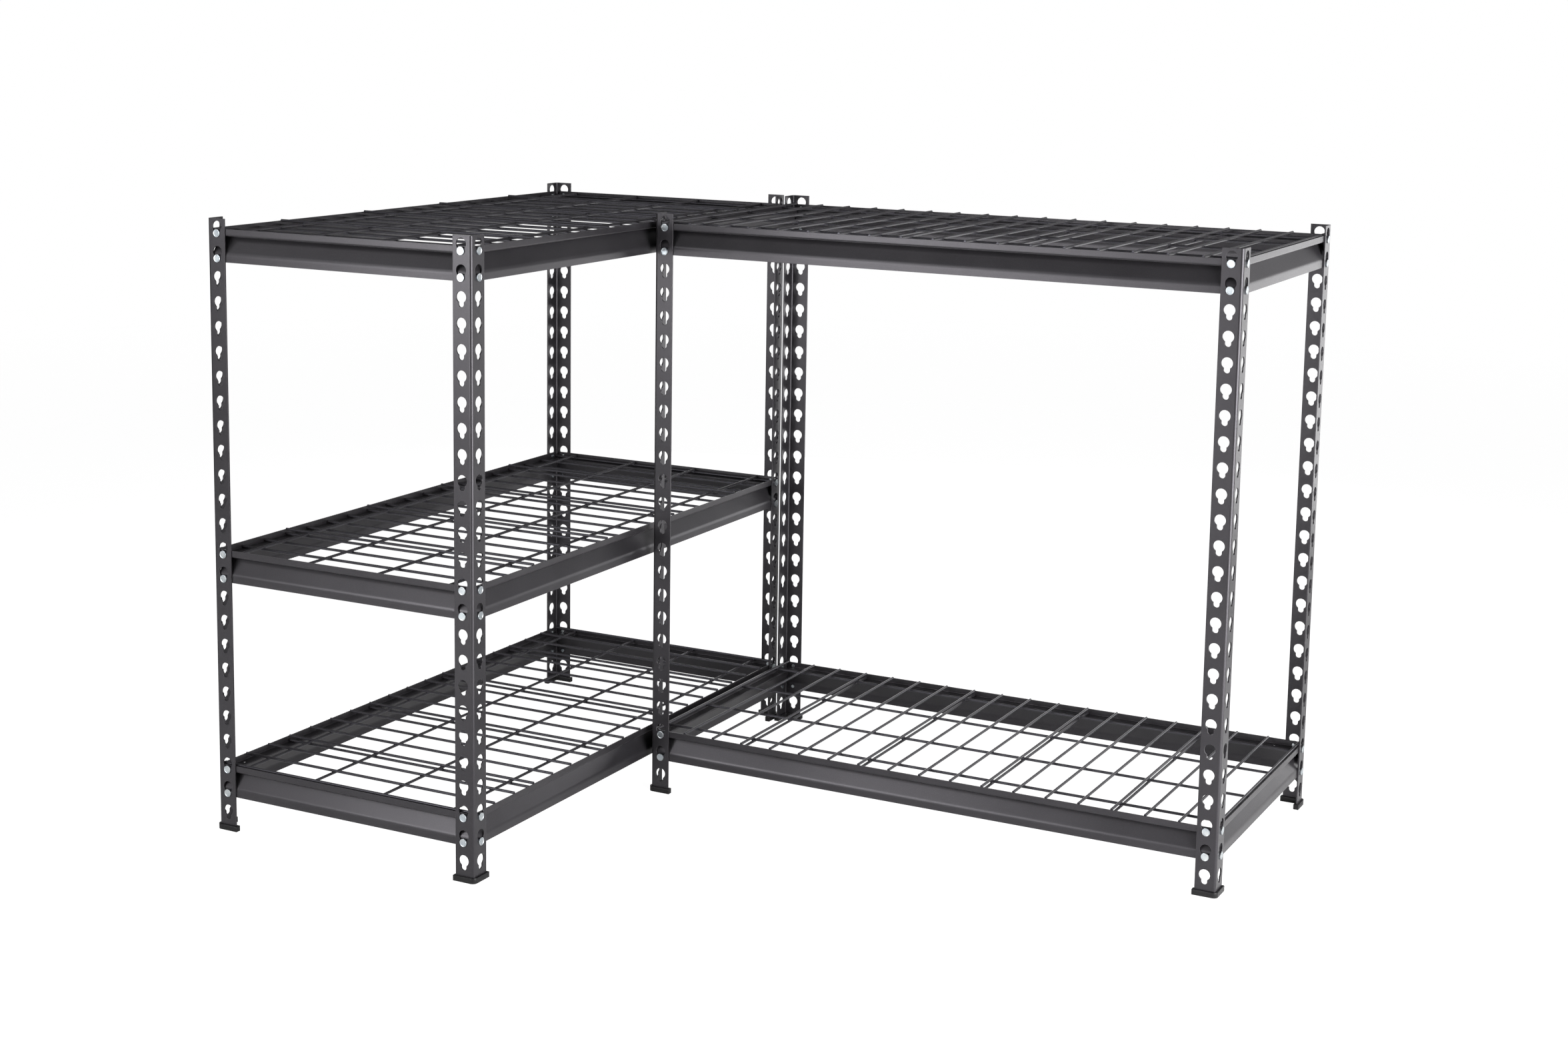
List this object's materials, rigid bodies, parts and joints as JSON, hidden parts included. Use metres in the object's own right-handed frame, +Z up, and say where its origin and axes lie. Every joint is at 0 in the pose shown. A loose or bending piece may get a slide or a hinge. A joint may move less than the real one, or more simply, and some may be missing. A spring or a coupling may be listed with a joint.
{
  "type": "boltless steel shelving",
  "caption": "Two free-standing steel shelving bays at a right angle: keyholed angle posts, rivet-hung beams and loose wire decks.",
  "frame": {"origin": "on the floor under the middle of the whole arrangement of both bays", "axes": "+Z up; the left bay runs along Y and stands at -X; the right bay runs along X and stands at +X and +Y; the front is -Y"},
  "size_m": [1.3886, 0.931, 0.911],
  "materials": {
    "powder_coated_steel": "charcoal grey powder coat, satin with a fine texture",
    "coated_wire": "charcoal grey powder coat on round wire, semi-gloss",
    "zinc_rivet": "bright zinc plating",
    "foot_plastic": "moulded black plastic, satin"
  },
  "bodies": {
    "frame": {"left_bay_post_front_left": "powder_coated_steel", "left_bay_post_front_right": "powder_coated_steel", "left_bay_post_back_left": "powder_coated_steel", "left_bay_post_back_right": "powder_coated_steel", "left_bay_foot_front_left": "foot_plastic", "left_bay_foot_front_right": "foot_plastic", "left_bay_foot_back_left": "foot_plastic", "left_bay_foot_back_right": "foot_plastic", "right_bay_post_front_left": "powder_coated_steel", "right_bay_post_front_right": "powder_coated_steel", "right_bay_post_back_left": "powder_coated_steel", "right_bay_post_back_right": "powder_coated_steel", "right_bay_foot_front_left": "foot_plastic", "right_bay_foot_front_right": "foot_plastic", "right_bay_foot_back_left": "foot_plastic", "right_bay_foot_back_right": "foot_plastic", "left_top_beam_front": "powder_coated_steel", "left_top_beam_back": "powder_coated_steel", "left_top_beam_left": "powder_coated_steel", "left_top_beam_right": "powder_coated_steel", "left_top_rivets": "zinc_rivet", "left_middle_beam_front": "powder_coated_steel", "left_middle_beam_back": "powder_coated_steel", "left_middle_beam_left": "powder_coated_steel", "left_middle_beam_right": "powder_coated_steel", "left_middle_rivets": "zinc_rivet", "left_low_beam_front": "powder_coated_steel", "left_low_beam_back": "powder_coated_steel", "left_low_beam_left": "powder_coated_steel", "left_low_beam_right": "powder_coated_steel", "left_low_rivets": "zinc_rivet", "right_top_beam_front": "powder_coated_steel", "right_top_beam_back": "powder_coated_steel", "right_top_beam_left": "powder_coated_steel", "right_top_beam_right": "powder_coated_steel", "right_top_rivets": "zinc_rivet", "right_low_beam_front": "powder_coated_steel", "right_low_beam_back": "powder_coated_steel", "right_low_beam_left": "powder_coated_steel", "right_low_beam_right": "powder_coated_steel", "right_low_rivets": "zinc_rivet"},
    "left_top_wire_deck": {"left_top_deck": "coated_wire"},
    "left_middle_wire_deck": {"left_middle_deck": "coated_wire"},
    "left_low_wire_deck": {"left_low_deck": "coated_wire"},
    "right_top_wire_deck": {"right_top_deck": "coated_wire"},
    "right_low_wire_deck": {"right_low_deck": "coated_wire"}
  },
  "joints": [
    {"name": "left_top_lift", "type": "slide", "parent": "frame", "child": "left_top_wire_deck", "axis": [0, 0, 1], "range_m": [0, 0.3]},
    {"name": "left_middle_lift", "type": "slide", "parent": "frame", "child": "left_middle_wire_deck", "axis": [0, 0, 1], "range_m": [0, 0.38]},
    {"name": "left_low_lift", "type": "slide", "parent": "frame", "child": "left_low_wire_deck", "axis": [0, 0, 1], "range_m": [0, 0.24]},
    {"name": "right_top_lift", "type": "slide", "parent": "frame", "child": "right_top_wire_deck", "axis": [0, 0, 1], "range_m": [0, 0.3]},
    {"name": "right_low_lift", "type": "slide", "parent": "frame", "child": "right_low_wire_deck", "axis": [0, 0, 1], "range_m": [0, 0.6]}
  ]
}
